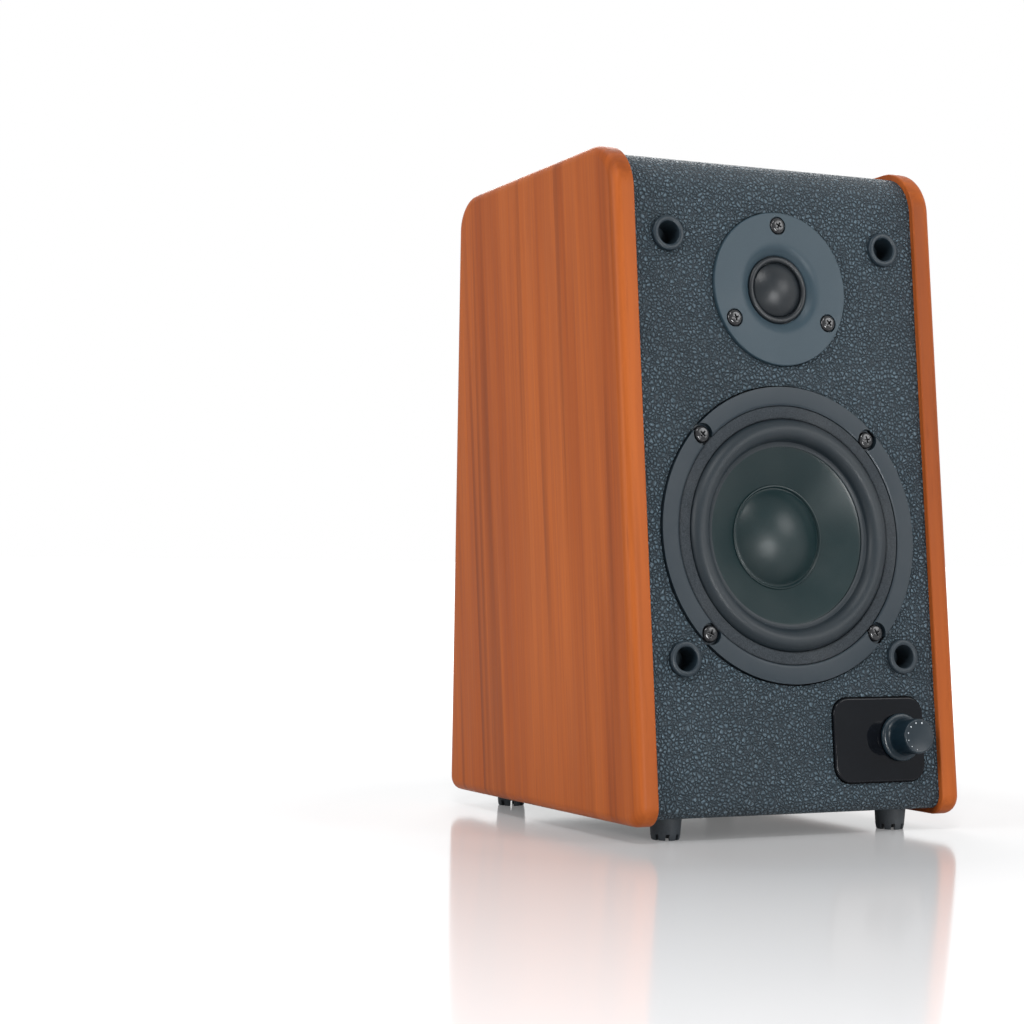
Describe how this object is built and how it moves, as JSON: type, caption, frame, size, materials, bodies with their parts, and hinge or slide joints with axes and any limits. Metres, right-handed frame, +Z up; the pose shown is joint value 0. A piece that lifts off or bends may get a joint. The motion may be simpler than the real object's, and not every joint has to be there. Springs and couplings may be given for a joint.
{
  "type": "bookshelf speaker",
  "caption": "Two-way powered bookshelf speaker: leaning leather-cloth front between wooden side panels, cone woofer, dome tweeter, volume knob, rear amplifier plate, rubber feet.",
  "frame": {"origin": "middle of the bounding box, on the plane of the rubber feet's soles", "axes": "+Z up, the front faces -Y, +X is on the right when seen from the front"},
  "size_m": [0.154, 0.183, 0.2743],
  "materials": {
    "wood_veneer": "satin varnish",
    "board": "raw fibreboard",
    "leather_cloth": "pebbled grain",
    "wadding": "fibrous",
    "driver_plastic": "satin",
    "tweeter_fabric": "coated",
    "copper_coil": "enamelled wire",
    "plated_steel": "zinc plated",
    "ferrite": "matt",
    "black_screws": "black oxide",
    "gasket": "speckled",
    "basket_steel": "black paint",
    "surround_rubber": "satin",
    "cone": "coated",
    "spider_cloth": "impregnated cloth",
    "tag_strip": "fibre board with tags",
    "gloss_black": "gloss",
    "knob_black": "satin",
    "foot_rubber": "matt",
    "black_plastic": "fine grain",
    "red_plastic": "gloss",
    "rear_plate": "powder coat",
    "nickel": "nickel plated",
    "circuit_board": "solder mask",
    "capacitor_sleeve": "satin sleeve",
    "heat_sink": "extruded",
    "lead_sleeve": "matt"
  },
  "bodies": {
    "cabinet": {"left_side_panel": "wood_veneer", "right_side_panel": "wood_veneer", "baffle_board": "board", "top_board": "board", "bottom_board": "board", "rear_board": "board", "leatherette_wrap": "leather_cloth", "damping_pad": "wadding", "tweeter_faceplate": "driver_plastic", "tweeter_surround": "tweeter_fabric", "tweeter_front_plate": "plated_steel", "tweeter_magnet": "ferrite", "tweeter_yoke": "plated_steel", "tweeter_screws": "black_screws", "woofer_trim_ring": "driver_plastic", "woofer_gasket": "gasket", "woofer_basket": "basket_steel", "woofer_surround": "surround_rubber", "woofer_spider": "spider_cloth", "woofer_top_plate": "plated_steel", "woofer_magnet": "ferrite", "woofer_yoke": "plated_steel", "woofer_terminals": "tag_strip", "woofer_screws": "black_screws", "grille_socket_top_left": "driver_plastic", "grille_socket_top_right": "driver_plastic", "grille_socket_low_left": "driver_plastic", "grille_socket_low_right": "driver_plastic", "volume_plate": "gloss_black", "volume_pot": "plated_steel", "volume_nut": "plated_steel", "foot_front_left": "foot_rubber", "foot_front_right": "foot_rubber", "foot_rear_left": "foot_rubber", "foot_rear_right": "foot_rubber", "foot_screws": "plated_steel", "port_tube": "black_plastic", "amp_plate": "rear_plate", "amp_plate_screws": "black_screws", "phono_block": "black_plastic", "phono_barrels": "nickel", "terminal_block": "black_plastic", "switch_housing": "black_plastic", "mains_inlet": "black_plastic", "amp_board": "circuit_board", "filter_capacitors": "capacitor_sleeve", "heat_sink": "heat_sink", "transformer_core": "plated_steel", "transformer_coil": "copper_coil", "speaker_leads": "lead_sleeve"},
    "volume_knob": {"volume_knob": "knob_black", "volume_shaft": "plated_steel"},
    "woofer_cone": {"woofer_cone": "cone", "woofer_dust_cap": "cone", "woofer_voice_coil": "copper_coil"},
    "tweeter_dome": {"tweeter_dome": "tweeter_fabric", "tweeter_voice_coil": "copper_coil"},
    "power_rocker": {"power_rocker": "black_plastic"},
    "red_lever": {"red_lever": "red_plastic"},
    "black_lever": {"black_lever": "black_plastic"}
  },
  "joints": [
    {"name": "volume_turn", "type": "hinge", "parent": "cabinet", "child": "volume_knob", "pos_m": [0.0483, -0.07641, 0.0386], "axis": [0, -0.994, 0.1097], "range_deg": [-150, 150]},
    {"name": "woofer_stroke", "type": "slide", "parent": "cabinet", "child": "woofer_cone", "axis": [0, -0.994, 0.1097], "range_m": [-0.003, 0.003], "stiffness_N_per_m": 1500, "deforming": ["woofer_surround", "woofer_spider"]},
    {"name": "tweeter_stroke", "type": "slide", "parent": "cabinet", "child": "tweeter_dome", "axis": [0, -0.994, 0.1097], "range_m": [-0.0003, 0.0003], "stiffness_N_per_m": 2000, "deforming": ["tweeter_surround"]},
    {"name": "power_rock", "type": "hinge", "parent": "cabinet", "child": "power_rocker", "pos_m": [-0.026, 0.08055, 0.052], "axis": [1, 0, 0], "range_deg": [0, 18]},
    {"name": "red_lever_tip", "type": "hinge", "parent": "cabinet", "child": "red_lever", "pos_m": [0.0075, 0.08475, 0.1014], "axis": [-1, 0, 0], "range_deg": [0, 35], "stiffness_Nm_per_rad": 0.05, "springref_deg": -11.46},
    {"name": "black_lever_tip", "type": "hinge", "parent": "cabinet", "child": "black_lever", "pos_m": [-0.0075, 0.08475, 0.1014], "axis": [-1, 0, 0], "range_deg": [0, 35], "stiffness_Nm_per_rad": 0.05, "springref_deg": -11.46}
  ]
}
